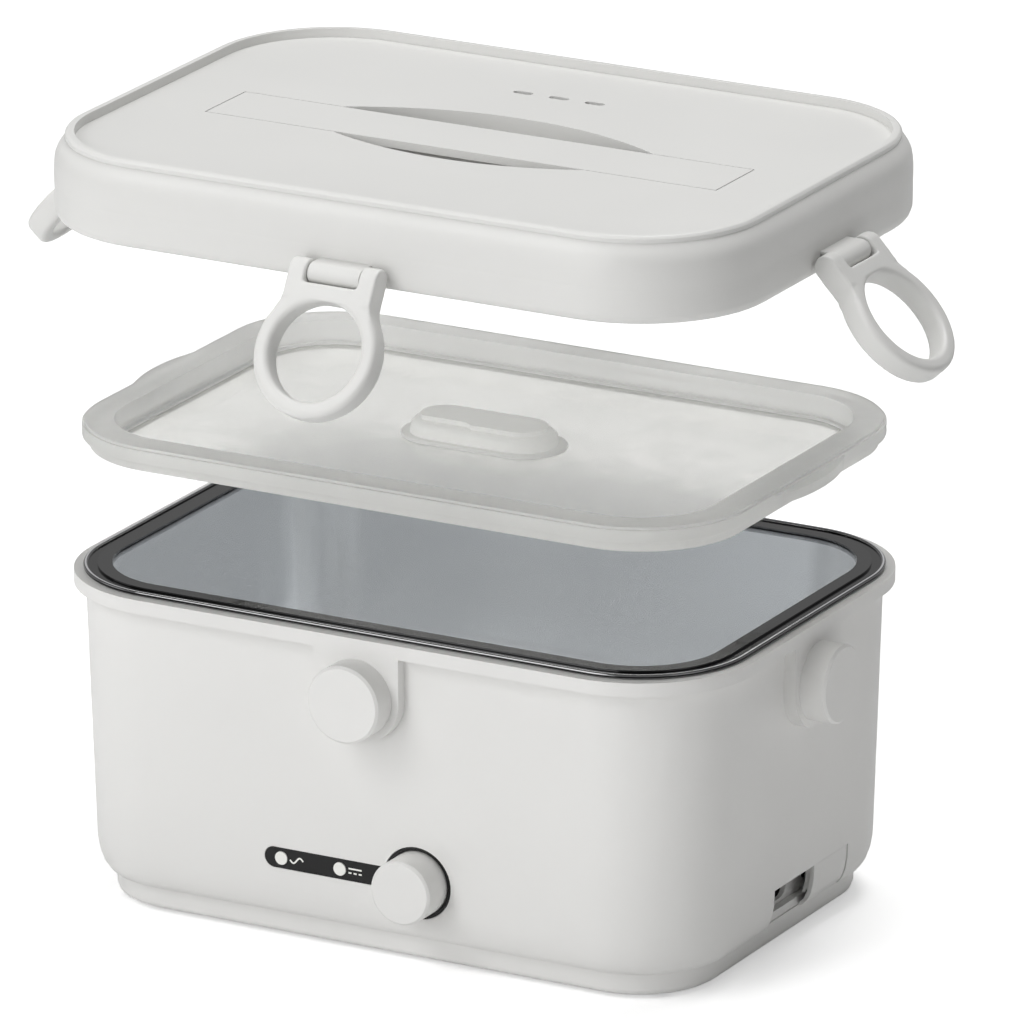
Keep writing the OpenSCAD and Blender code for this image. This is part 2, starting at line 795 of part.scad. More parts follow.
// A bead that follows the outline: quarter rings at the corners, rods between them
module rim_bead(i, z) {
    w = half_w(i);
    d = half_d(i);
    r = corner(i);
    translate([0, 0, z]) {
        for (q = [0:3]) {
            sx = (q == 0 || q == 3) ? 1 : -1;
            sy = q < 2 ? 1 : -1;
            translate([sx * (w - r), sy * (d - r), 0]) rotate([0, 0, 90 * q]) {
                rotate_extrude(angle = 90, $fn = round_fn) translate([r, 0]) circle(bead_r, $fn = 24);
            }
        }
        for (sy = [-1, 1]) {
            translate([-(w - r), sy * d, 0]) rotate([0, 90, 0]) cylinder(r = bead_r, h = 2 * (w - r), $fn = 24);
        }
        for (sx = [-1, 1]) {
            translate([sx * w, d - r, 0]) rotate([90, 0, 0]) cylinder(r = bead_r, h = 2 * (d - r), $fn = 24);
        }
    }
}

// Stadium of length l and width w
module stadium(l, w) {
    square([l - w, w], center = true);
    for (s = [-1, 1]) {
        translate([s * (l - w) / 2, 0]) circle(w / 2, $fn = round_fn);
    }
}

module inner_lid_panel() {
    color([0.88, 0.88, 0.87, 0.6]) difference() {
        translate([0, 0, panel_z - panel_t]) linear_extrude(panel_t) outline(plug_in + groove + 0.05);
        translate([0, 0, panel_z - 5]) linear_extrude(10) stadium(plug_l - 22, plug_w - 16);
    }
}

module inner_lid_seal() {
    slot_gap = 0.05;
    tab_chord = 48;
    tab_r = (tab_chord * tab_chord / 4 + tab_reach * tab_reach) / (2 * tab_reach);
    color(clear_grey) difference() {
        union() {
            ring_slab(seal_inset + 0.9, tray_in, seal_top - 0.9, 0.9);
            ring_slab(seal_inset, tray_in, inner_z + seal_low_h, seal_h - 0.9);
            ring_slab(seal_low_in, tray_in, inner_z, seal_low_h);
            // part that plugs the mouth of the tub and holds the panel
            ring_slab(plug_in, plug_in + 2.6, panel_z - panel_t - 0.9, panel_t + 1.8);
            // pull tabs at both ends
            for (s = [0, 1]) {
                rotate([0, 0, 180 * s]) translate([0, 0, inner_z + seal_low_h]) {
                    linear_extrude(seal_h - 1.6) intersection() {
                        translate([half_w(seal_inset) + tab_reach - tab_r, 0]) circle(tab_r, $fn = 200);
                        translate([half_w(seal_inset) - 2, -tab_chord / 2]) square([10, tab_chord]);
                    }
                }
            }
        }
        // groove that grips the panel
        translate([0, 0, panel_z - panel_t - slot_gap]) {
            linear_extrude(panel_t + 2 * slot_gap) outline(plug_in + groove);
        }
    }
}

module vent_seat() {
    color(clear_grey) difference() {
        union() {
            translate([0, 0, panel_z]) linear_extrude(1.2) stadium(plug_l, plug_w);
            translate([0, 0, panel_z - panel_t - 0.2]) {
                linear_extrude(panel_t + 0.4) stadium(plug_l - 22 - 0.1, plug_w - 16 - 0.1);
            }
            translate([0, 0, panel_z - panel_t - 1.2]) linear_extrude(1.2) stadium(plug_l - 18, plug_w - 12);
        }
        translate([0, 0, panel_z - 10]) linear_extrude(20) stadium(plug_l - 30, 5);
    }
}

module vent_plug() {
    z0 = panel_z + 1.3;
    color(clear_grey) {
        hull() {
            translate([0, 0, z0]) linear_extrude(0.1) stadium(plug_l - 6, plug_w - 4);
            translate([0, 0, z0 + 2.8]) linear_extrude(0.1) stadium(plug_l - 7, plug_w - 5);
            translate([0, 0, z0 + 3.9]) linear_extrude(0.1) stadium(plug_l - 9, plug_w - 7);
            translate([0, 0, z0 + 4.3]) linear_extrude(0.1) stadium(plug_l - 12, plug_w - 10);
        }
        // raised top, with finger hollows on both sides that leave an S between them
        translate([0, 0, z0 + 4]) linear_extrude(1.9) difference() {
            stadium(plug_l - 13, plug_w - 11);
            translate([-plug_l / 4, -plug_w / 2 + 3]) stadium(plug_l / 2, plug_w / 3);
            translate([plug_l / 5, -plug_w / 2 + 2]) stadium(plug_l / 1.6, plug_w / 5);
        }
        translate([0, 0, panel_z - panel_t - 0.6]) linear_extrude(panel_t + 2.2) stadium(plug_l - 30.6, 4.4);
    }
}

// Lid rim and skirt, as one lofted shell below a flared rim
module lid_form() {
    union() {
        hull() {
            for (h = [0, 1, 3, 8, 13, 16, 18.5, shoulder_z - 0.6, shoulder_z]) {
                layer(skirt_in(h), lid_z + h);
            }
        }
        translate([0, 0, lid_z + shoulder_z - 1]) {
            linear_extrude(lid_h - shoulder_z) outline(neck_in - lid_over);
        }
        hull() {
            layer(neck_in - lid_over - 0.1, lid_top - 4.2);
            layer(neck_in - lid_over - 1.2, lid_top - 3.2);
            layer(neck_in - lid_over - 1.5, lid_top - 1);
            layer(neck_in - lid_over - 1, lid_top - 0.3);
            layer(neck_in - lid_over - 0.4, lid_top - eps);
        }
    }
}

// Crescent hollow beyond one long edge of the handle strip
module hollow(l, reach, grow) {
    r = (l * l / 4 + reach * reach) / (2 * reach);
    intersection() {
        translate([0, strap_w / 2 + reach - r]) circle(r + grow, $fn = 256);
        translate([-l / 2 - grow, 0]) square([l + 2 * grow, strap_w + reach]);
    }
}

// The handle strip's bed and the finger hollows on both sides of it
module strap_well(grow) {
    translate([0, strap_y]) {
        square([strap_l + 2 * grow, strap_w + 2 * grow], center = true);
        hollow(hollow_back_l, hollow_back, grow);
        mirror([0, 1]) hollow(hollow_front_l, hollow_front, grow);
    }
}

module outer_lid() {
    vent_y = 50;
    color(white) difference() {
        union() {
            difference() {
                lid_form();
                hull() {
                    layer(skirt_in(3) + lid_t - 0.1, lid_z - 1);
                    layer(skirt_in(13) + lid_t + 0.1, lid_z + 13);
                    layer(skirt_in(16) + lid_t + 0.6, lid_z + 16);
                    layer(neck_in - lid_over + 3.4, lid_z + lid_h - top_recess - deck_t);
                }
                translate([0, 0, deck_top]) linear_extrude(20) outline(neck_in - lid_over - 1.5 + rim_lip);
            }
            // well under the handle strip
            translate([0, 0, well_floor]) linear_extrude(hollow_depth + 1.5) strap_well(1.8);
            // hinge knuckles at the middle of each side
            on_sides() {
                lid_knuckle(pin_y);
                lid_knuckle(pin_x);
            }
        }
        translate([0, 0, deck_top - hollow_depth]) linear_extrude(30) strap_well(0);
        // steam vents
        for (k = [-1:1]) {
            translate([k * 13, vent_y, deck_z - 5]) linear_extrude(20) stadium(7, 2.8);
        }
        // bores for the handle's legs
        for (sx = [-1, 1]) {
            translate([sx * leg_x, strap_y, deck_top - 20]) cylinder(r = leg_r + 0.08, h = 14, $fn = round_fn);
        }
    }
    // ledges that the ends of the strip rest on
    color(white) for (sx = [-1, 1]) {
        translate([sx * leg_x, strap_y, 0]) difference() {
            translate([-9.2, -strap_w / 2 - 0.2, deck_top - hollow_depth - 1]) {
                cube([18.4, strap_w + 0.4, hollow_depth - strap_t - 0.4 + 1]);
            }
            translate([0, 0, deck_top - 20]) cylinder(r = leg_r + 0.08, h = 40, $fn = round_fn);
        }
    }
}

// Rounded knuckle on the skirt, bored for the hinge pin
module lid_knuckle(reach) {
    knuckle_w = ear_w - 2 * ear_t - 0.6;
    knuckle_r = 2.6;
    translate([-knuckle_w / 2, -reach, pin_z]) difference() {
        union() {
            rotate([0, 90, 0]) cylinder(r = knuckle_r, h = knuckle_w, $fn = round_fn);
            translate([0, 0, -knuckle_r]) cube([knuckle_w, pin_out + 0.8, 2 * knuckle_r]);
        }
        translate([-1, 0, 0]) rotate([0, 90, 0]) cylinder(r = pin_r, h = knuckle_w + 2, $fn = round_fn);
    }
}

module lid_liner() {
    top = well_floor - 0.3;
    rib_in = seal_inset + 2;
    color(white) {
        difference() {
            translate([0, 0, top - 1.6]) linear_extrude(1.6) outline(skirt_in(10) + lid_t + 0.3);
            for (sx = [-1, 1]) {
                translate([sx * leg_x, strap_y, top - 5]) cylinder(r = leg_r + 2, h = 10, $fn = 48);
            }
            // ways for the steam, over the vent plug and under the lid's vents
            translate([0, 0, top - 5]) linear_extrude(10) stadium(plug_l + 10, plug_w + 10);
            translate([0, 50, top - 5]) linear_extrude(10) stadium(44, 12);
        }
        ring_slab(rib_in, rib_in + 1.8, seal_contact + 0.2, top - seal_contact - 0.7);
    }
}

module carry_strap() {
    foot_t = 1.5;
    color(white) {
        translate([0, strap_y, deck_top - strap_t]) linear_extrude(strap_t) {
            square([strap_l - 0.8, strap_w - 0.8], center = true);
        }
        for (sx = [-1, 1]) {
            translate([sx * leg_x, strap_y, well_floor - strap_lift - foot_t]) {
                cylinder(r = leg_r, h = deck_top - well_floor + strap_lift + foot_t - 0.5, $fn = round_fn);
                cylinder(r = leg_r + 1, h = foot_t - 0.1, $fn = round_fn);
            }
        }
    }
}

module latch_pins() {
    color(steel) on_sides() {
        translate([-ear_w / 2 + 0.8, -pin_y, pin_z]) rotate([0, 90, 0]) {
            cylinder(r = pin_r, h = ear_w - 1.6, $fn = round_fn);
        }
        translate([-ear_w / 2 + 0.8, -pin_x, pin_z]) rotate([0, 90, 0]) {
            cylinder(r = pin_r, h = ear_w - 1.6, $fn = round_fn);
        }
    }
}

// One latch, hanging straight down from a pin along X at the origin, its plane in XZ
module latch_form() {
    ear_r = latch_t / 2;
    window_w = ear_w - 2 * ear_t;
    window_low = -latch_l + ring_hole_r + ring_band;
    difference() {
        union() {
            // rounded ring
            translate([0, 0, -latch_l]) rotate([90, 0, 0]) rotate_extrude($fn = round_fn) {
                translate([ring_hole_r + ring_round, -latch_t / 2]) square([ring_band - 2 * ring_round, latch_t]);
                translate([ring_hole_r, -latch_t / 2 + ring_round]) square([ring_band, latch_t - 2 * ring_round]);
                for (a = [ring_round, ring_band - ring_round], b = [-1, 1]) {
                    translate([ring_hole_r + a, b * (latch_t / 2 - ring_round)]) circle(ring_round, $fn = 48);
                }
            }
            // block that carries the two ears
            translate([-ear_w / 2, -latch_t / 2, -latch_l + ring_hole_r]) cube([ear_w, latch_t, latch_l - ring_hole_r]);
            translate([-ear_w / 2, 0, 0]) rotate([0, 90, 0]) cylinder(r = ear_r, h = ear_w, $fn = round_fn);
        }
        // window between the ears
        translate([-window_w / 2, -latch_t, window_low]) cube([window_w, 2 * latch_t, 30]);
        // ring hole kept clear of the block
        translate([0, latch_t, -latch_l]) rotate([90, 0, 0]) cylinder(r = ring_hole_r, h = 2 * latch_t, $fn = round_fn);
        // pin bore, running fit
        translate([-ear_w, 0, 0]) rotate([0, 90, 0]) cylinder(r = pin_r + 0.06, h = 2 * ear_w, $fn = round_fn);
    }
}

module placed_latch(turn, reach, swing) {
    color(white) rotate([0, 0, turn]) translate([0, -reach, pin_z]) rotate([-swing, 0, 0]) latch_form();
}

module latch_front() {
    placed_latch(0, pin_y, swing_front);
}

module latch_back() {
    placed_latch(180, pin_y, swing_front);
}

module latch_left() {
    placed_latch(270, pin_x, swing_side);
}

module latch_right() {
    placed_latch(90, pin_x, swing_side);
}

outer_housing();
base_cover();
rubber_feet();
base_screws();
inner_liner();
plate_seal();
heating_plate();
ptc_heaters();
heater_clamp();
clamp_screws();
thermostat();
thermal_fuse();
control_board();
board_screws();
indicator_leds();
switch_body();
indicator_panel();
lamp_lenses();
inlet_plate();
ac_socket();
socket_pins();
dc_jack();
power_button();
switch_plunger();
inlet_cover();
food_tub();
inner_lid_panel();
inner_lid_seal();
vent_seat();
vent_plug();
outer_lid();
lid_liner();
carry_strap();
latch_pins();
latch_front();
latch_back();
latch_left();
latch_right();
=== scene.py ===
"""Looks of the electric lunch box: materials, forms that the solids leave plain, signs, studio, camera."""
import json
import math

import bmesh
import bpy
from mathutils import Matrix, Vector


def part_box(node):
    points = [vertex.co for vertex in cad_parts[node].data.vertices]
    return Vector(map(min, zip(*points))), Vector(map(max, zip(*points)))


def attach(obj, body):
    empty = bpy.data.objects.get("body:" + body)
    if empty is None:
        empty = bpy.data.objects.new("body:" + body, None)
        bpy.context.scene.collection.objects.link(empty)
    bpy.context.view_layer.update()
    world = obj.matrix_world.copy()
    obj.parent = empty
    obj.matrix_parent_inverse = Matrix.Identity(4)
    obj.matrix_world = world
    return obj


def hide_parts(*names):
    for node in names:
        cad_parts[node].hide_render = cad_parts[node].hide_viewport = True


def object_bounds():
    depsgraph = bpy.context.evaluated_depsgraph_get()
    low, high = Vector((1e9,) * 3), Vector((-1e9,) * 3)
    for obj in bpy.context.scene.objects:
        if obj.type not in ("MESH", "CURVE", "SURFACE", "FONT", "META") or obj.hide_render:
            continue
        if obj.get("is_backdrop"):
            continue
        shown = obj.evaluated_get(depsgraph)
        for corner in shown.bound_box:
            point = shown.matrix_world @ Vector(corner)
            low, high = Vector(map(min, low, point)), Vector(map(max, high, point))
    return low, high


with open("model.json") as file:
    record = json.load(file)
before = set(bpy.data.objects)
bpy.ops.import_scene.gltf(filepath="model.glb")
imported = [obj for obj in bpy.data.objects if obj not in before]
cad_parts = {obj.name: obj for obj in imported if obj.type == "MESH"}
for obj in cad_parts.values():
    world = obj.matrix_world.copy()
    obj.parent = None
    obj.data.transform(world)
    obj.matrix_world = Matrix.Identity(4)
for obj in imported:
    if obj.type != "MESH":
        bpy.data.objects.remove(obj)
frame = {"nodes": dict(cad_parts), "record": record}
NODES = frame["nodes"]


def keep_bounds(label, store={}):
    """Notes the whole object's box under a label, as plain lists in metres."""
    low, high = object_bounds()
    store[label] = [list(low), list(high)]


keep_bounds("at_load")

# Camera, as the photograph's frame needs it: angles in degrees, lengths in metres
CAM_AZIMUTH = 28.75
CAM_ELEVATION = 18.24
CAM_ROLL = -0.10
CAM_TARGET = Vector((0.010, 0.0, 0.1288))
PIXELS_PER_METRE = 3138.0
FOCAL_PIXELS = 12000.0
FRAME_PIXELS = 1024
SENSOR_WIDTH = 36.0
CLIP_START, CLIP_END = 0.1, 50.0

# Colours as sRGB values between 0 and 1, and the strengths of painted glow: light painted into the clear
# pieces and the tub's inside
WHITE = (0.895, 0.893, 0.885)
WHITE_INNER = (0.85, 0.85, 0.84)
SILICONE = (0.89, 0.89, 0.882)
SILICONE_PAINTED_GLOW = 0.04
PLUG_PAINTED_GLOW = 0.18
FROST = (0.93, 0.93, 0.92)
FROST_PAINTED_GLOW = 0.035
FROST_CLEAR = 0.8
# Painted shade: the lid's white is the shell's white darkened a little, standing in for the shade on the lid
# and its latches
LID_WHITE_SHADED = (0.872, 0.871, 0.862)
STEEL = (0.868, 0.877, 0.885)
# Painted light: the strength of the glow on the tub's inward faces
TUB_PAINTED_GLOW = 0.07
# Refraction of the soft clear plastics, under its real value to keep their edges pale
SOFT_IOR = 1.3
# Depths of the fine surface grain, in metres
GRAIN_DEPTH = 0.00002
DRAWN_DEPTH = 0.00001
RUBBER_DEPTH = 0.00003
CERAMIC_DEPTH = 0.00005
# Heights in metres: the tub's curled sheet, the step to its rim, and a point above it that its inside faces
TUB_SHEET = 0.0016
RIM_STEP = 0.0002
TUB_ABOVE = 0.05
# Painted reflections on the tub's rim, as greys over its height in metres above the sheet: dark flats between
# painted bright lines
RIM_PAINTED_REFLECTIONS = (
    (-0.0006, 0.80), (0.0, 0.72), (0.00045, 0.55), (0.0006, 0.11), (0.00095, 0.12),
    (0.0012, 0.5), (0.00142, 0.4), (0.00147, 0.17), (0.00152, 0.17), (0.00156, 0.9),
)

# Studio: each lamp's power in watts, width in metres, place and aim
LAMPS = {
    "key": (20.0, 1.4, (-0.9, -1.7, 1.9), (0, 0, 0.1)),
    "front": (20.0, 1.6, (-0.5, -2.4, 0.7), (0, 0, 0.12)),
    "left": (3.0, 1.4, (-2.3, -0.9, 1.2), (0, 0, 0.12)),
    "top": (27.0, 1.2, (0.0, 0.5, 2.2), (0, 0, 0.1)),
    "fill": (4.0, 1.6, (2.2, -0.6, 1.0), (0, 0, 0.12)),
}
WORLD_SOFT = 0.12
WORLD_GLOSSY = 0.5
WORLD_SEEN = 1.0
FLOOR_GLOW = 0.42
FLOOR_HALF = 6.0
# Distances in metres over which the floor's seen glow rises to full white
FLOOR_FADE = (0.8, 2.6)


def linear(colour):
    """sRGB to scene-linear."""
    return tuple(c / 12.92 if c <= 0.04045 else ((c + 0.055) / 1.055) ** 2.4 for c in colour)


class Maker:
    """A material's node tree, with short calls for the nodes used here."""

    def __init__(self, name):
        self.material = bpy.data.materials.new(name)
        self.material.use_nodes = True
        self.tree = self.material.node_tree
        self.shader = self.tree.nodes["Principled BSDF"]
        self.place = self.tree.nodes.new("ShaderNodeTexCoord").outputs["Object"]

    def node(self, kind, **values):
        made = self.tree.nodes.new(kind)
        for key, value in values.items():
            setattr(made, key, value)
        return made

    def link(self, out, socket):
        self.tree.links.new(out, socket)

    def stretched(self, scale):
        mapping = self.node("ShaderNodeMapping")
        mapping.inputs["Scale"].default_value = scale
        self.link(self.place, mapping.inputs["Vector"])
        return mapping.outputs["Vector"]

    def noise(self, scale, detail=3.0, rough=0.55, stretch=(1, 1, 1)):
        made = self.node("ShaderNodeTexNoise")
        made.inputs["Scale"].default_value = scale
        made.inputs["Detail"].default_value = detail
        made.inputs["Roughness"].default_value = rough
        self.link(self.stretched(stretch), made.inputs["Vector"])
        return made.outputs["Fac"]

    def span(self, factor, low, high, from_low=0.3, from_high=0.7):
        made = self.node("ShaderNodeMapRange")
        made.inputs["From Min"].default_value = from_low
        made.inputs["From Max"].default_value = from_high
        made.inputs["To Min"].default_value = low
        made.inputs["To Max"].default_value = high
        self.link(factor, made.inputs["Value"])
        return made.outputs["Result"]

    def colours(self, factor, first, second):
        made = self.node("ShaderNodeMix", data_type="RGBA")
        made.inputs[6].default_value = (*linear(first), 1)
        made.inputs[7].default_value = (*linear(second), 1)
        self.link(factor, made.inputs[0])
        self.link(made.outputs[2], self.shader.inputs["Base Color"])

    def bump(self, height, strength, distance):
        made = self.node("ShaderNodeBump")
        made.inputs["Strength"].default_value = strength
        made.inputs["Distance"].default_value = distance
        self.link(height, made.inputs["Height"])
        self.link(made.outputs["Normal"], self.shader.inputs["Normal"])

    def set(self, **values):
        for key, value in values.items():
            self.shader.inputs[key.replace("_", " ")].default_value = value


def shade(colour, by):
    return tuple(min(1.0, c * by) for c in colour)


def plastic(name, colour, roughness, grain=0.35):
    """Moulded plastic: a faint cloud in the colour and a fine moulded grain."""
    m = Maker(name)
    cloud = m.noise(9.0, detail=2.0)
    m.colours(m.span(cloud, 0, 1), shade(colour, 0.988), shade(colour, 1.008))
    fine = m.noise(2600.0, detail=2.0)
    m.link(m.span(m.noise(60.0), roughness - 0.03, roughness + 0.03), m.shader.inputs["Roughness"])
    m.bump(fine, strength=grain, distance=GRAIN_DEPTH)
    m.set(Specular_IOR_Level=0.42)
    return m.material


def steel(name, colour, roughness, stretch=(1, 1, 1)):
    """Polished sheet: drawn lines that change its gloss more than its colour."""
    m = Maker(name)
    lines = m.noise(220.0, detail=4.0, rough=0.6, stretch=stretch)
    m.colours(m.span(lines, 0, 1), shade(colour, 0.94), shade(colour, 1.03))
    m.link(m.span(lines, roughness - 0.03, roughness + 0.05), m.shader.inputs["Roughness"])
    m.bump(lines, strength=0.08, distance=GRAIN_DEPTH)
    m.set(Metallic=1.0)
    return m.material


def tub_steel(name, rim_z):
    """Satin drawn steel below with a painted glow on its inward faces, and a mirror rim with painted
    reflections: dark and bright lines painted by its height.
    """
    m = Maker(name)
    lines = m.noise(320.0, rough=0.5, stretch=(0.04, 1, 4))
    parts = m.node("ShaderNodeSeparateXYZ")
    m.link(m.place, parts.inputs[0])
    height = parts.outputs["Z"]
    low, high = RIM_PAINTED_REFLECTIONS[0][0], RIM_PAINTED_REFLECTIONS[-1][0]
    # Painted reflections: a ramp of dark and bright greys up the rim's height, in place of what the mirror
    # would show
    reflection_ramp = m.node("ShaderNodeValToRGB")
    m.link(m.span(height, 0, 1, rim_z + low, rim_z + high), reflection_ramp.inputs[0])
    stops = reflection_ramp.color_ramp.elements
    for place, _ in RIM_PAINTED_REFLECTIONS[1:-1]:
        stops.new((place - low) / (high - low))
    for stop, (place, reflection_grey) in zip(stops, RIM_PAINTED_REFLECTIONS):
        stop.color = (*linear((reflection_grey, reflection_grey, reflection_grey * 1.01)), 1)
    rim = m.span(height, 0, 1, rim_z + low - RIM_STEP, rim_z + low)
    mix = m.node("ShaderNodeMix", data_type="RGBA")
    mix.inputs[6].default_value = (*linear(STEEL), 1)
    m.link(reflection_ramp.outputs[0], mix.inputs[7])
    m.link(rim, mix.inputs[0])
    m.link(mix.outputs[2], m.shader.inputs["Base Color"])
    m.link(m.span(rim, 0.8, 1.0, 0, 1), m.shader.inputs["Metallic"])
    gloss = m.node("ShaderNodeMath", operation="MULTIPLY")
    m.link(m.span(lines, 0.22, 0.25), gloss.inputs[0])
    m.link(m.span(rim, 1.0, 0.35, 0, 1), gloss.inputs[1])
    m.link(gloss.outputs[0], m.shader.inputs["Roughness"])
    m.bump(lines, strength=0.01, distance=DRAWN_DEPTH)
    # Painted light: a glow on the faces that look inwards, standing in for the light that the walls pass to
    # each other
    inwards = m.node("ShaderNodeVectorMath", operation="DOT_PRODUCT")
    below = m.node("ShaderNodeVectorMath", operation="SUBTRACT")
    below.inputs[1].default_value = (0, 0, rim_z + TUB_ABOVE)
    m.link(m.place, below.inputs[0])
    m.link(below.outputs[0], inwards.inputs[0])
    m.link(m.node("ShaderNodeNewGeometry").outputs["Normal"], inwards.inputs[1])
    painted_glow = m.node("ShaderNodeMath", operation="MULTIPLY")
    m.link(m.span(inwards.outputs["Value"], TUB_PAINTED_GLOW, 0.0, -0.01, 0.01), painted_glow.inputs[0])
    m.link(m.span(rim, 1.0, 0.0, 0, 1), painted_glow.inputs[1])
    m.link(painted_glow.outputs[0], m.shader.inputs["Emission Strength"])
    m.shader.inputs["Emission Color"].default_value = (*linear(STEEL), 1)
    return m.material


def rubbery(name, colour, roughness, clear=0.0, painted_glow=0.0):
    """Silicone or rubber: matt, softly clouded, clear as far as asked; its last argument is painted light, a
    glow that makes it brighter than its lighting does.
    """
    m = Maker(name)
    m.colours(m.span(m.noise(24.0), 0, 1), shade(colour, 0.975), shade(colour, 1.01))
    m.link(m.span(m.noise(180.0), roughness - 0.04, roughness + 0.05), m.shader.inputs["Roughness"])
    m.bump(m.noise(1500.0), strength=0.25, distance=RUBBER_DEPTH)
    m.set(Transmission_Weight=clear, IOR=SOFT_IOR, Emission_Strength=painted_glow)
    m.shader.inputs["Emission Color"].default_value = (*linear(colour), 1)
    return m.material


def frosted(name):
    """Frosted clear panel: light comes through, shapes behind it don't; a painted glow lightens it where the
    outer lid shades it.
    """
    m = Maker(name)
    m.colours(m.span(m.noise(14.0), 0, 1), shade(FROST, 0.985), shade(FROST, 1.01))
    m.link(m.span(m.noise(90.0), 0.16, 0.22), m.shader.inputs["Roughness"])
    m.bump(m.noise(2200.0), strength=0.2, distance=GRAIN_DEPTH)
    m.set(Transmission_Weight=FROST_CLEAR, IOR=SOFT_IOR, Emission_Strength=FROST_PAINTED_GLOW)
    m.shader.inputs["Emission Color"].default_value = (*linear(FROST), 1)
    return m.material


def ceramic(name, colour):
    m = Maker(name)
    m.colours(m.span(m.noise(300.0), 0, 1), shade(colour, 0.93), shade(colour, 1.03))
    m.link(m.span(m.noise(400.0), 0.6, 0.75), m.shader.inputs["Roughness"])
    m.bump(m.noise(900.0), strength=0.4, distance=CERAMIC_DEPTH)
    return m.material


TUB_RIM_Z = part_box("food_tub")[1][2] - TUB_SHEET

MATERIALS = {
    "white_shell": plastic("white_shell", WHITE, 0.42),
    "white_inner": plastic("white_inner", WHITE_INNER, 0.5),
    "white_lid_shaded": plastic("white_lid_shaded", LID_WHITE_SHADED, 0.42),
    "button_white": plastic("button_white", WHITE, 0.38),
    "frosted": frosted("frosted_panel"),
    # The seal's and the plug's glows are painted light that brightens them where the lid shades them
    "seal_silicone": rubbery("seal_silicone", SILICONE, 0.42, 0.62, SILICONE_PAINTED_GLOW),
    "plug_silicone": rubbery("plug_silicone", SILICONE, 0.42, 0.35, PLUG_PAINTED_GLOW),
    "tub_steel": tub_steel("tub_steel", TUB_RIM_Z),
    "black_gloss": plastic("black_gloss", (0.035, 0.035, 0.037), 0.28, 0.1),
    "black_plastic": plastic("black_plastic", (0.06, 0.06, 0.06), 0.5),
    "lens": plastic("lamp_lens", (0.94, 0.94, 0.92), 0.3, 0.1),
    "foot_rubber": rubbery("foot_rubber", (0.30, 0.30, 0.30), 0.7),
    "screw_steel": steel("screw_steel", (0.66, 0.67, 0.69), 0.3),
    "plate_alloy": steel("plate_alloy", (0.76, 0.77, 0.78), 0.4, (1, 14, 1)),
    "heater_ceramic": ceramic("heater_ceramic", (0.84, 0.80, 0.72)),
    "red_silicone": rubbery("red_silicone", (0.66, 0.30, 0.24), 0.6),
    "board_green": plastic("board_green", (0.10, 0.33, 0.18), 0.35),
}
SLOT_OF = {part["node"]: part["material_slot"] for part in frame["record"]["subparts"]}
# The lid, its strap and the latches take the shell's white with painted shade
SLOT_OF.update({name: "white_lid_shaded" for name in ("outer_lid", "carry_strap")})
SLOT_OF.update({name: "plug_silicone" for name in ("vent_seat", "vent_plug")})

# Edge rounding of the moulded pieces, in metres
EDGE_ROUND = {
    "outer_housing": 0.0005,
    "base_cover": 0.0004,
    "indicator_panel": 0.0001,
    "power_button": 0.0003,
    "inner_lid_seal": 0.0007,
    "vent_seat": 0.0004,
    "outer_lid": 0.0006,
    "carry_strap": 0.0003,
    "inlet_cover": 0.0002,
}
EDGE_ANGLE = math.radians(38)
SMOOTH_ANGLE = math.radians(50)
FACE_WEIGHT = 50
WELD_GAP = 0.000004


def smooth_by_angle():
    """Geometry nodes that shade a mesh smooth, apart from edges sharper than the angle."""
    group = bpy.data.node_groups.new("smooth_by_angle", "GeometryNodeTree")
    group.interface.new_socket(name="Geometry", in_out="INPUT", socket_type="NodeSocketGeometry")
    group.interface.new_socket(name="Geometry", in_out="OUTPUT", socket_type="NodeSocketGeometry")
    start = group.nodes.new("NodeGroupInput")
    end = group.nodes.new("NodeGroupOutput")
    angle = group.nodes.new("GeometryNodeInputMeshEdgeAngle")
    sharp = group.nodes.new("FunctionNodeCompare")
    sharp.operation = "GREATER_THAN"
    sharp.inputs[1].default_value = SMOOTH_ANGLE
    normals = group.nodes.new("GeometryNodeSetMeshNormal")
    normals.mode = "SHARPNESS"
    normals.inputs["Remove Custom"].default_value = True
    group.links.new(angle.outputs["Unsigned Angle"], sharp.inputs[0])
    group.links.new(sharp.outputs[0], normals.inputs["Edge Sharpness"])
    group.links.new(start.outputs[0], normals.inputs[0])
    group.links.new(normals.outputs[0], end.inputs[0])
    return group


SMOOTH_NODES = smooth_by_angle()


def finish_smooth(piece):
    """Smooth shading that keeps flat faces flat and sharp edges sharp."""
    piece.modifiers.new("smooth", "NODES").node_group = SMOOTH_NODES
    weighted = piece.modifiers.new("weighted", "WEIGHTED_NORMAL")
    weighted.weight = FACE_WEIGHT
    weighted.keep_sharp = True


def round_edges(piece, width):
    """Rounds a piece's sharp edges."""
    bevel = piece.modifiers.new("edges", "BEVEL")
    bevel.width = width
    bevel.segments = 2
    bevel.limit_method = "ANGLE"
    bevel.angle_limit = EDGE_ANGLE
    bevel.use_clamp_overlap = True
    bevel.harden_normals = False


def dress(name, piece):
    """Gives a CAD node its material, smooth faces and softened edges."""
    material = MATERIALS[SLOT_OF[name]]
    piece.data.materials.clear()
    piece.data.materials.append(material)
    weld = piece.modifiers.new("weld", "WELD")
    weld.merge_threshold = WELD_GAP
    if name in EDGE_ROUND:
        round_edges(piece, EDGE_ROUND[name])
    finish_smooth(piece)


for node_name, node_object in NODES.items():
    dress(node_name, node_object)


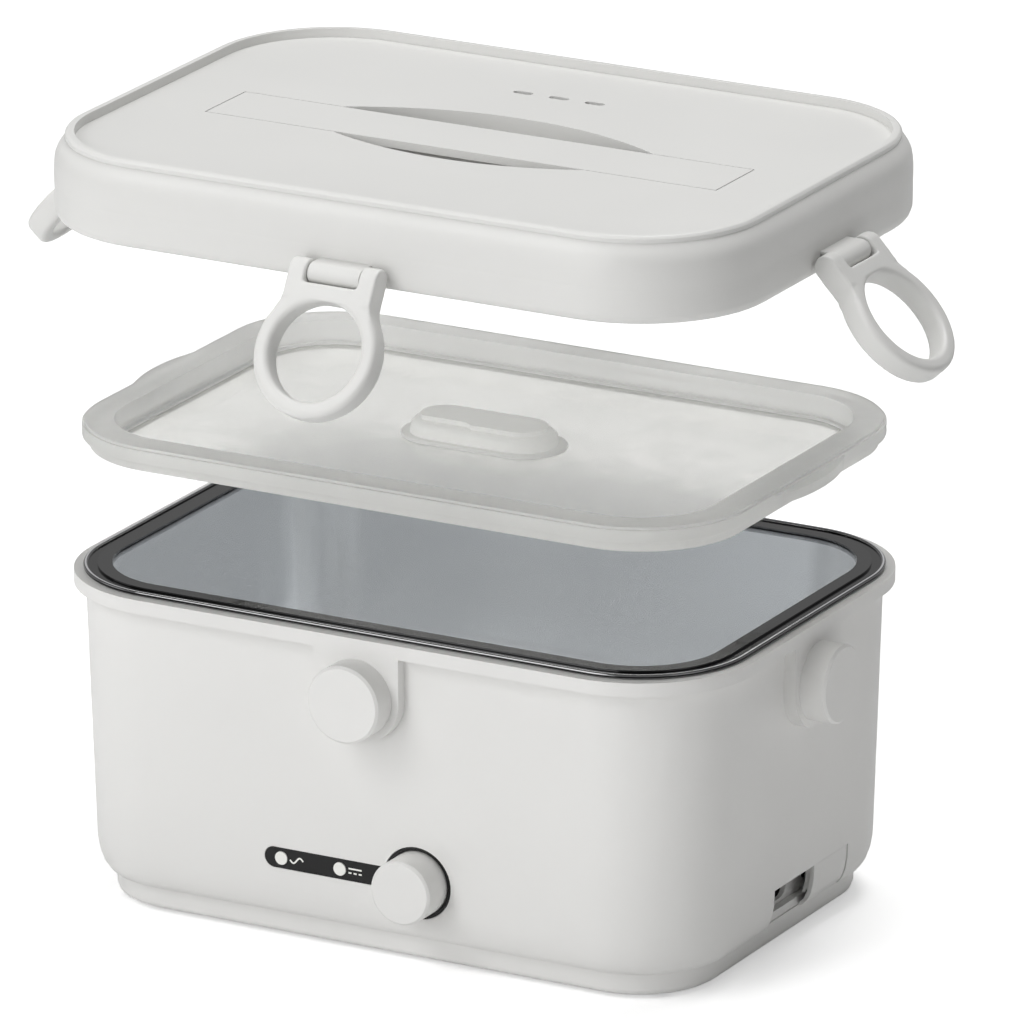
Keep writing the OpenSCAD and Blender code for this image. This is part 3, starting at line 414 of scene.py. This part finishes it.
def area_light(name, energy, size, place, aim):
    data = bpy.data.lights.new(name, "AREA")
    data.energy = energy
    data.shape = "DISK"
    data.size = size
    lamp = bpy.data.objects.new(name, data)
    lamp.location = place
    lamp.rotation_mode = "QUATERNION"
    lamp.rotation_quaternion = (Vector(aim) - Vector(place)).to_track_quat("-Z", "Y")
    bpy.context.scene.collection.objects.link(lamp)


def ray_strength(tree, seen, glossy, soft):
    """A strength that depends on the ray: seen directly or through clear pieces, mirrored, or neither."""
    path = tree.nodes.new("ShaderNodeLightPath")
    total = None
    rays = {"Is Camera Ray": seen - soft, "Is Transmission Ray": seen - soft, "Is Glossy Ray": glossy - soft}
    for ray, extra in rays.items():
        step = tree.nodes.new("ShaderNodeMath")
        step.operation = "MULTIPLY_ADD"
        tree.links.new(path.outputs[ray], step.inputs[0])
        step.inputs[1].default_value = extra
        step.inputs[2].default_value = soft
        if total is not None:
            tree.links.new(total, step.inputs[2])
        total = step.outputs[0]
    return total


def studio():
    """Plain pale floor, soft lamps and a world that the camera sees as white."""
    world = bpy.data.worlds.new("studio")
    bpy.context.scene.world = world
    world.use_nodes = True
    tree = world.node_tree
    light = tree.nodes["Background"]
    light.inputs["Color"].default_value = (1, 1, 1, 1)
    tree.links.new(ray_strength(tree, WORLD_SEEN, WORLD_GLOSSY, WORLD_SOFT), light.inputs["Strength"])

    for name, values in LAMPS.items():
        area_light(name, *values)

    mesh = bpy.data.meshes.new("floor")
    corners = [(x * FLOOR_HALF, y * FLOOR_HALF, 0) for x, y in ((-1, -1), (1, -1), (1, 1), (-1, 1))]
    mesh.from_pydata(corners, [], [(0, 1, 2, 3)])
    floor = bpy.data.objects.new("floor", mesh)
    bpy.context.scene.collection.objects.link(floor)
    floor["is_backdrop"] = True
    m = Maker("floor_white")
    m.colours(m.span(m.noise(3.0), 0, 1), (0.985, 0.985, 0.985), (0.99, 0.99, 0.99))
    m.set(Roughness=0.8)
    m.shader.inputs["Emission Color"].default_value = (1, 1, 1, 1)
    away = m.node("ShaderNodeVectorMath", operation="LENGTH")
    m.link(m.place, away.inputs[0])
    farther = m.node("ShaderNodeMath", operation="MULTIPLY")
    m.link(ray_strength(m.tree, FLOOR_GLOW, 0.0, 0.0), farther.inputs[0])
    m.link(m.span(away.outputs["Value"], 1.0, 1.0 / FLOOR_GLOW, *FLOOR_FADE), farther.inputs[1])
    m.link(farther.outputs[0], m.shader.inputs["Emission Strength"])
    floor.data.materials.append(m.material)


# Forms that the solids leave plain, with lengths in metres. First the common outline: the middle of its
# corner's arc, and the arc's radius at the flange edge.
CORE = (0.080, 0.044)
CORNER = 0.040
CORNER_STEPS = 20
LID_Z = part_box("outer_lid")[0][2]
# The lid's full shoulder: distances in from the flange edge, and heights above the lid's lower edge
SHOULDER = (
    (-0.00450, 0.0110), (-0.00455, 0.0130), (-0.00456, 0.0150), (-0.00452, 0.0166), (-0.00438, 0.0184),
    (-0.00412, 0.0199), (-0.00370, 0.0212), (-0.00312, 0.0223), (-0.00245, 0.0233), (-0.00172, 0.0242),
    (-0.00110, 0.0249), (-0.00060, 0.0254), (0.00060, 0.0253), (0.00060, 0.0215), (-0.00050, 0.0208),
    (-0.00220, 0.0190), (-0.00340, 0.0160), (-0.00400, 0.0110),
)
# The latches' hinge pins, as the solids have them
PIN_R = 0.00125
PIN_LOW, PIN_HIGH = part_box("latch_pins")
PIN_Y = PIN_HIGH[1] - PIN_R
PIN_X = PIN_HIGH[0] - PIN_R
PIN_Z = (PIN_LOW[2] + PIN_HIGH[2]) / 2
# Knuckle sleeves: radius, reach below the pin and towards the skirt, half length, rounding and arc's steps
SLEEVE_R = 0.0034
SLEEVE_LOW = 0.0025
SLEEVE_DEEP = 0.0062
SLEEVE_HALF = 0.0092
SLEEVE_EDGE = 0.0004
SLEEVE_STEPS = 32
# Each latch's turn round the lid, its pin's distance from the middle and the angle that it hangs at
LATCHES = {
    "front": (0, PIN_Y, 29),
    "back": (180, PIN_Y, 29),
    "left": (270, PIN_X, 43),
    "right": (90, PIN_X, 43),
}
# A latch's ring and ears, measured from its pin as in the solids, and the fillets between them
RING_CENTRE = -0.0252
RING_R = 0.0212
EAR_HALF = 0.0155
FILLET_R = 0.010
FILLET_HALF = 0.0039
FILLET_STEPS = 8
# A fillet's web: its top, its depth into the ear, and its foot inside the ring in X and Z
WEB_TOP = -0.0050
WEB_IN = 0.0035
WEB_FOOT = ((0.0136, -0.0138), (0.0120, -0.0090))
# Caps over the pin's bore, and the fine remesh that softens a latch
CAP_R = 0.0018
CAP_T = 0.0007
CAP_STEPS = 24
VOXEL = 0.00045
SOFTEN_FACTOR = 0.5
SOFTEN_TIMES = 10


def new_piece(name, corners, faces, body, material):
    """A closed mesh that rides on a body."""
    mesh = bpy.data.meshes.new(name)
    mesh.from_pydata(corners, [], faces)
    shape = bmesh.new()
    shape.from_mesh(mesh)
    bmesh.ops.recalc_face_normals(shape, faces=shape.faces)
    shape.to_mesh(mesh)
    shape.free()
    piece = bpy.data.objects.new(name, mesh)
    bpy.context.scene.collection.objects.link(piece)
    piece.data.materials.append(MATERIALS[material])
    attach(piece, body)
    return piece


def outline_points(inset):
    """The common outline, a distance in from the flange edge."""
    points = []
    for quarter, (sx, sy) in enumerate(((1, 1), (-1, 1), (-1, -1), (1, -1))):
        for k in range(CORNER_STEPS + 1):
            angle = math.radians(90 * (quarter + k / CORNER_STEPS))
            reach = CORNER - inset
            points.append((sx * CORE[0] + reach * math.cos(angle), sy * CORE[1] + reach * math.sin(angle)))
    return points


def lid_shoulder():
    """The smooth, full shoulder between the lid's skirt and the thin edge of its rim."""
    corners, faces = [], []
    for inset, height in SHOULDER:
        corners += [(x, y, LID_Z + height) for x, y in outline_points(inset)]
    rows = len(SHOULDER)
    around = len(corners) // rows
    for row in range(rows):
        up = (row + 1) % rows
        for k in range(around):
            on = (k + 1) % around
            faces.append((row * around + k, row * around + on, up * around + on, up * around + k))
    piece = new_piece("lid_shoulder", corners, faces, "lid", "white_lid_shaded")
    finish_smooth(piece)


def prism_faces(count):
    """Faces of a prism: two ends of so many corners each, and the sides between them."""
    sides = [(k, (k + 1) % count, count + (k + 1) % count, count + k) for k in range(count)]
    return [tuple(range(count)), tuple(range(count, 2 * count))] + sides


def slab(profile, half):
    """Corners and faces of a profile in Y and Z, drawn out along X to both sides."""
    corners = [(side * half, y, z) for side in (-1, 1) for y, z in profile]
    return corners, prism_faces(len(profile))


def side_matrix(turn, reach, swing=0):
    """From a hinge pin's own frame to the lid: the pin along X, outwards along -Y."""
    turned = Matrix.Rotation(math.radians(turn), 4, "Z")
    hung = Matrix.Rotation(math.radians(-swing), 4, "X")
    return turned @ Matrix.Translation((0, -reach, PIN_Z)) @ hung


def knuckle_sleeve(side):
    """Full round knuckle between a latch's ears, on a web that meets the skirt."""
    turn, reach, _ = LATCHES[side]
    start = math.asin(-SLEEVE_LOW / SLEEVE_R)
    profile = [(SLEEVE_DEEP, SLEEVE_R), (SLEEVE_DEEP, -SLEEVE_LOW)]
    for k in range(SLEEVE_STEPS + 1):
        angle = start - (start + 1.5 * math.pi) * k / SLEEVE_STEPS
        profile.append((SLEEVE_R * math.cos(angle), SLEEVE_R * math.sin(angle)))
    corners, faces = slab(profile, SLEEVE_HALF)
    matrix = side_matrix(turn, reach)
    placed = [matrix @ Vector(corner) for corner in corners]
    piece = new_piece("knuckle_" + side, placed, faces, "lid", "white_lid_shaded")
    round_edges(piece, SLEEVE_EDGE)
    finish_smooth(piece)


def fillet_web(sign_x):
    """The concave corner between an ear's side and the ring, in X and Z."""
    middle_x = EAR_HALF + FILLET_R
    middle_z = RING_CENTRE + math.sqrt((RING_R + FILLET_R) ** 2 - middle_x ** 2)
    last = math.atan2(middle_z - RING_CENTRE, middle_x)
    points = [(EAR_HALF - WEB_IN, WEB_TOP), (EAR_HALF, WEB_TOP)]
    for k in range(FILLET_STEPS + 1):
        angle = math.pi + last * k / FILLET_STEPS
        points.append((middle_x + FILLET_R * math.cos(angle), middle_z + FILLET_R * math.sin(angle)))
    points += WEB_FOOT
    return [(sign_x * x, z) for x, z in points]


def soft_latch(side):
    """A latch with the fillets and soft edges of a moulding, in place of its plain solid."""
    turn, reach, swing = LATCHES[side]
    node = "latch_" + side
    shape = bmesh.new()
    shape.from_mesh(NODES[node].data)
    matrix = side_matrix(turn, reach, swing)

    def add(corners, faces):
        made = [shape.verts.new(matrix @ Vector(corner)) for corner in corners]
        for face in faces:
            shape.faces.new([made[k] for k in face])

    turns = [2 * math.pi * k / CAP_STEPS for k in range(CAP_STEPS)]
    ring = [(CAP_R * math.cos(turn_by), CAP_R * math.sin(turn_by)) for turn_by in turns]
    for sign_x in (-1, 1):
        outline = fillet_web(sign_x)
        corners = [(x, y, z) for y in (-FILLET_HALF, FILLET_HALF) for x, z in outline]
        add(corners, prism_faces(len(outline)))
        corners = [(sign_x * x, y, z) for x in (EAR_HALF - CAP_T, EAR_HALF) for y, z in ring]
        add(corners, prism_faces(CAP_STEPS))
    bmesh.ops.remove_doubles(shape, verts=shape.verts, dist=WELD_GAP)
    bmesh.ops.recalc_face_normals(shape, faces=shape.faces)
    mesh = bpy.data.meshes.new("ring_" + node)
    shape.to_mesh(mesh)
    shape.free()
    draft = bpy.data.objects.new("draft_" + node, mesh)
    bpy.context.scene.collection.objects.link(draft)
    remesh = draft.modifiers.new("remesh", "REMESH")
    remesh.mode = "VOXEL"
    remesh.voxel_size = VOXEL
    smooth = draft.modifiers.new("soften", "SMOOTH")
    smooth.factor = SOFTEN_FACTOR
    smooth.iterations = SOFTEN_TIMES
    done = bpy.data.meshes.new_from_object(draft.evaluated_get(bpy.context.evaluated_depsgraph_get()))
    bpy.data.objects.remove(draft)
    piece = bpy.data.objects.new("ring_" + node, done)
    bpy.context.scene.collection.objects.link(piece)
    done.materials.clear()
    done.materials.append(MATERIALS["white_lid_shaded"])
    for face in done.polygons:
        face.use_smooth = True
    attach(piece, side + "_latch")
    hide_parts(node)


lid_shoulder()
for side_name in LATCHES:
    knuckle_sleeve(side_name)
    soft_latch(side_name)


# Signs beside the lamps: a wave for mains power, a bar over dashes for a car's socket
SIGN_WIDTH = 0.0048
SIGN_STROKE = 0.00055
SIGN_SHIFT = 0.0056
SIGN_LIFT = 0.00004
LENS_FLANGE = 0.0031
WAVE_STEPS = 28
WAVE_RISE = SIGN_WIDTH * 0.2
DASH_WIDTH = SIGN_WIDTH / 4.4
BAR_RISE = SIGN_STROKE * 1.3


def wave():
    """Outline of one period of a wave with an even stroke."""
    upper, lower = [], []
    for k in range(WAVE_STEPS + 1):
        t = 2 * k / WAVE_STEPS - 1
        slope = math.pi * WAVE_RISE * math.cos(math.pi * t) / (SIGN_WIDTH / 2)
        size = math.hypot(1, slope) / (SIGN_STROKE / 2)
        u, v = t * SIGN_WIDTH / 2, WAVE_RISE * math.sin(math.pi * t)
        upper.append((u - slope / size, v + 1 / size))
        lower.append((u + slope / size, v - 1 / size))
    return [[lower[k], lower[k + 1], upper[k + 1], upper[k]] for k in range(WAVE_STEPS)]


def bar_and_dashes():
    """Outlines of a bar and three dashes under it."""
    def strip(u0, u1, v):
        half = SIGN_STROKE / 2
        return [(u0, v - half), (u1, v - half), (u1, v + half), (u0, v + half)]

    half = SIGN_WIDTH / 2
    starts = [-half, -DASH_WIDTH / 2, half - DASH_WIDTH]
    return [strip(-half, half, BAR_RISE)] + [strip(u, u + DASH_WIDTH, -BAR_RISE) for u in starts]


def sign(name, outlines, x):
    """Puts a flat white sign on the black strip, at the lamps' height."""
    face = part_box("indicator_panel")[0][1] - SIGN_LIFT
    low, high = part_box("lamp_lenses")
    middle = (low[2] + high[2]) / 2
    corners = [(x + u, face, middle + v) for outline in outlines for u, v in outline]
    faces = [tuple(range(4 * k, 4 * k + 4)) for k in range(len(outlines))]
    mesh = bpy.data.meshes.new(name)
    mesh.from_pydata(corners, [], faces)
    piece = bpy.data.objects.new(name, mesh)
    bpy.context.scene.collection.objects.link(piece)
    piece.data.materials.append(MATERIALS["lens"])
    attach(piece, "housing")


sign("sign_mains", wave(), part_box("lamp_lenses")[0][0] + LENS_FLANGE + SIGN_SHIFT)
sign("sign_direct", bar_and_dashes(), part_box("lamp_lenses")[1][0] - LENS_FLANGE + SIGN_SHIFT)


studio()


def photo_camera():
    """Camera at the photograph's angle; the long lens keeps the picture's nearly parallel lines."""
    azimuth = math.radians(CAM_AZIMUTH)
    elevation = math.radians(CAM_ELEVATION)
    back = Vector((
        math.sin(azimuth) * math.cos(elevation),
        -math.cos(azimuth) * math.cos(elevation),
        math.sin(elevation),
    ))
    data = bpy.data.cameras.new("photo_camera")
    data.sensor_width = SENSOR_WIDTH
    data.lens = FOCAL_PIXELS / FRAME_PIXELS * data.sensor_width
    distance = FOCAL_PIXELS / PIXELS_PER_METRE
    data.clip_start = CLIP_START
    data.clip_end = CLIP_END
    camera = bpy.data.objects.new("photo_camera", data)
    bpy.context.scene.collection.objects.link(camera)
    camera.location = CAM_TARGET + back * distance
    camera.rotation_mode = "QUATERNION"
    level = (-back).to_track_quat("-Z", "Y").to_matrix()
    roll = Matrix.Rotation(math.radians(CAM_ROLL), 3, "Z")
    camera.rotation_quaternion = (level @ roll).to_quaternion()
    bpy.context.scene.camera = camera


photo_camera()
bpy.context.scene.view_settings.view_transform = "Standard"

keep_bounds("at_finish")
